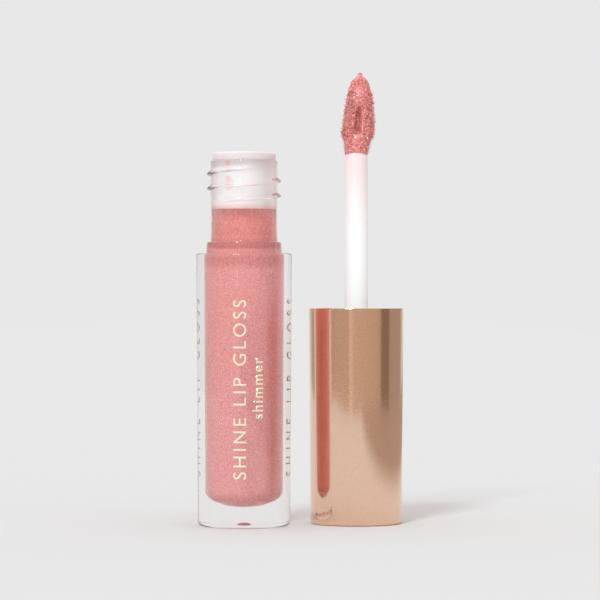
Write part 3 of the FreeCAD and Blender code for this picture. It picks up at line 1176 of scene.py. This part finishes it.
def make_leaf():
    """Flocked body of the tip, and the soft core under its coat."""
    mesh = leaf_mesh("flocked_leaf", 260, 300, flocked_place)
    material = flock_material(
        "flock_body", (0.34, 0.05, 0.045), (0.68, 0.17, 0.158), (0.92, 0.36, 0.335), 1.0)
    new_object("flocked_leaf", mesh, material, "cap", ["flocking"])
    core = leaf_mesh("tip_core", 96, 80, core_place)
    soft = moulded_white(
        "tip_plastic", (0.50, 0.20, 0.185, 1.0), (0.58, 0.25, 0.235, 1.0), 0.4, 0.2)
    new_object("tip_core", core, soft, "cap", ["applicator_tip"])


def add_strand(verts, faces, root, way, bend, length, thick, sides, rings):
    """One tapering, curling strand as a closed tube."""
    point = root.copy()
    step = length / rings
    first = len(verts)
    for ring in range(rings + 1):
        share = ring / rings
        radius = thick * (1 - share) ** 0.6 + thick * 0.12
        side = way.orthogonal().normalized()
        other = way.cross(side)
        for k in range(sides):
            turn = 2 * math.pi * k / sides
            verts.append(point + (side * math.cos(turn) + other * math.sin(turn)) * radius)
        way = (way + bend * (1.0 / rings)).normalized()
        point = point + way * step
    tube_faces(faces, first, sides, rings)


def scatter(rng, count, keep):
    """Random places (turn, s) on the leaf, kept with the chance that keep gives."""
    places = []
    while len(places) < count:
        turn = rng.uniform(0, 2 * math.pi)
        s = rng.uniform(0.01, 0.985)
        if rng.random() < keep(turn, s) * leaf_width(s):
            places.append((turn, s))
    return places


def jitter(rng, spread):
    """Random vector, each part of it normally distributed."""
    return Vector([rng.gauss(0, spread) for _ in range(3)])


TUFT_SEED = 7
TUFTS = 2300
TUFT_SPARE = 0.12
TUFT_GROOVE = 0.25 * MM
TUFT_ROOT = 0.08 * MM
TUFT_SIDES = 5
TUFT_RINGS = 7
SWIRL_SIZE = 0.7 * MM
MIN_LIFT = 0.15
RISE = Vector((0, 0, 0.25))


def make_tufts():
    """Wet clumps of flock, curling every way over the leaf."""
    rng = random.Random(TUFT_SEED)
    noise.seed_set(TUFT_SEED)
    verts, faces = [], []
    for turn, s in scatter(rng, TUFTS, lambda turn, s: TUFT_SPARE + roughness_at(turn, s)):
        base = leaf_point(turn, s)
        if groove_depth(base) > TUFT_GROOVE:
            continue
        normal = leaf_normal(turn, s)
        rough = roughness_at(turn, s)
        swirl = noise.noise_vector(base / SWIRL_SIZE)
        way = (normal * 0.75 + swirl * 0.9 + jitter(rng, 0.45) + RISE).normalized()
        if way.dot(normal) < MIN_LIFT:
            way = (way + normal * 0.6).normalized()
        bend = jitter(rng, 1.7) - normal * 0.9
        length = (0.22 + 0.50 * rough) * MM * rng.uniform(0.6, 1.25)
        thick = (0.045 + 0.05 * rough) * MM * rng.uniform(0.7, 1.3)
        root = base - normal * TUFT_ROOT
        add_strand(verts, faces, root, way, bend, length, thick, TUFT_SIDES, TUFT_RINGS)
    mesh = tube_mesh("flock_tufts", verts, faces)
    material = flock_material(
        "flock_clumps", (0.44, 0.07, 0.064), (0.84, 0.24, 0.225), (1.0, 0.55, 0.52), 1.0)
    new_object("flock_tufts", mesh, material, "cap")


FIBRE_SEED = 19
FIBRES = 900
FIBRE_SPARE = 0.05
FIBRE_GROOVE = 0.1 * MM
FIBRE_THICK = 0.017 * MM
FIBRE_SHORT = 0.35
FIBRE_LONG = 0.75
FIBRE_SIDES = 4
FIBRE_RINGS = 4
FIBRE_RISE = Vector((0, 0, 0.35))


def fibre_chance(turn, s):
    """Loose fibres stand mostly on the two edges, below the leaf's nose."""
    return FIBRE_SPARE + ease(abs(math.cos(turn)), 0.6, 0.95) * ease(s, 0.72, 0.52)


def make_fibres():
    """Loose fibres that stand off the sides of the tip."""
    rng = random.Random(FIBRE_SEED)
    verts, faces = [], []
    for turn, s in scatter(rng, FIBRES, fibre_chance):
        base = leaf_point(turn, s)
        if groove_depth(base) > FIBRE_GROOVE:
            continue
        way = (leaf_normal(turn, s) + jitter(rng, 0.35) + FIBRE_RISE).normalized()
        bend = jitter(rng, 0.5)
        length = rng.uniform(FIBRE_SHORT, FIBRE_LONG) * MM
        add_strand(verts, faces, base, way, bend, length, FIBRE_THICK, FIBRE_SIDES, FIBRE_RINGS)
    mesh = tube_mesh("flock_fibres", verts, faces)
    material = flock_material(
        "flock_loose", (0.80, 0.42, 0.40), (0.88, 0.55, 0.53), (0.95, 0.70, 0.68), 0.3)
    new_object("flock_fibres", mesh, material, "cap")


def set_look():
    """Plain view transform, and enough light bounces for the clear plastic."""
    scene.view_settings.view_transform = "Standard"
    scene.cycles.max_bounces = 24
    scene.cycles.transmission_bounces = 20
    scene.cycles.transparent_max_bounces = 20
    scene.cycles.glossy_bounces = 10
    scene.cycles.diffuse_bounces = 4
    scene.cycles.sample_clamp_indirect = 6.0


add_camera()
add_key()
add_studio()
add_floor()
make_bottle()
make_gloss()
make_wiper()
make_ridge_lines()
make_lettering()
make_cap()
make_stem()
carry_inner_parts()
make_leaf()
make_tufts()
make_fibres()
set_look()
